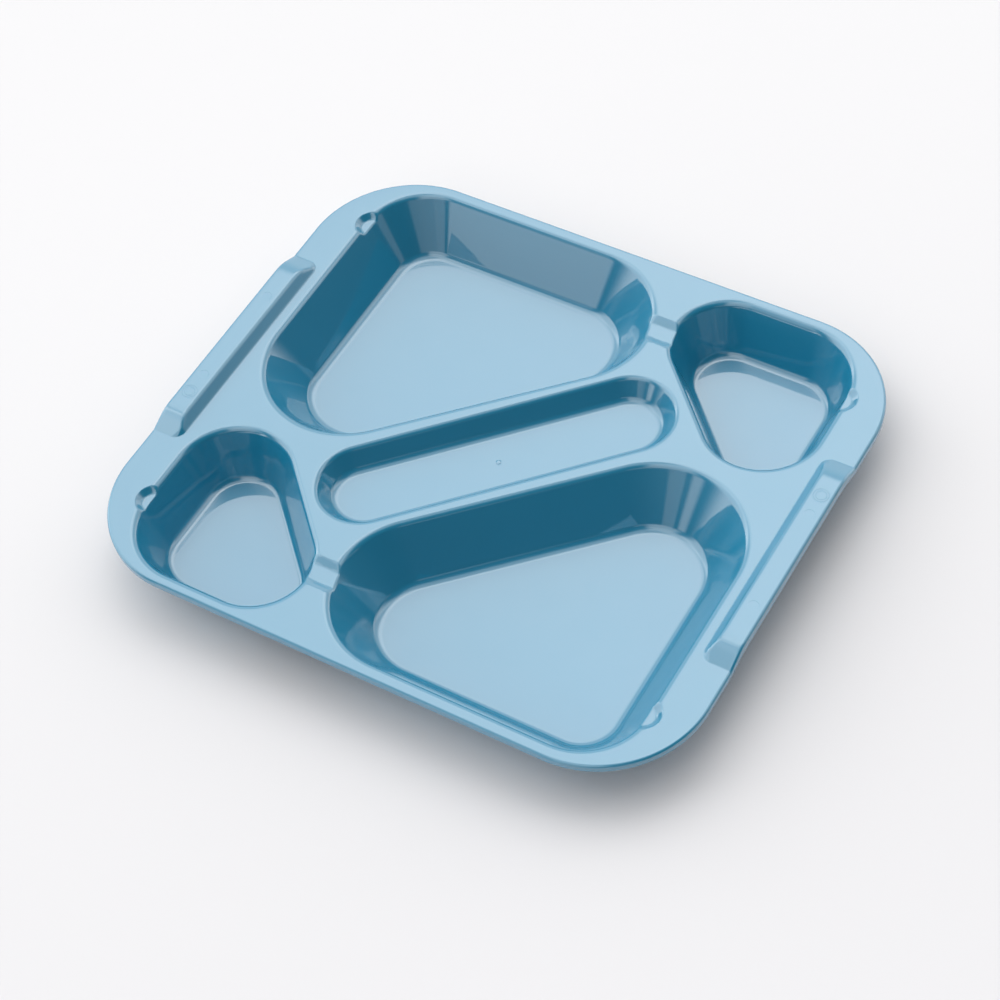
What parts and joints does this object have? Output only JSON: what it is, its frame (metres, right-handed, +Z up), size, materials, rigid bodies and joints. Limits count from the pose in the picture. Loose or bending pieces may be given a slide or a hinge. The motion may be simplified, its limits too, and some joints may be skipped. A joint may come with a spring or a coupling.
{
  "type": "compartment meal tray",
  "caption": "Shallow moulded plastic meal tray with rounded triangular wells, a diagonal cutlery trough and raised hand grips on its short sides.",
  "frame": {"origin": "on the table plane, under the centre of the tray's outline", "axes": "+X along the long side towards one hand grip, +Y across, +Z up out of the wells"},
  "size_m": [0.3718, 0.3292, 0.0406],
  "materials": {
    "blue_plastic": "glossy light blue polypropylene"
  },
  "bodies": {
    "root": {"tray": "blue_plastic"}
  },
  "joints": []
}
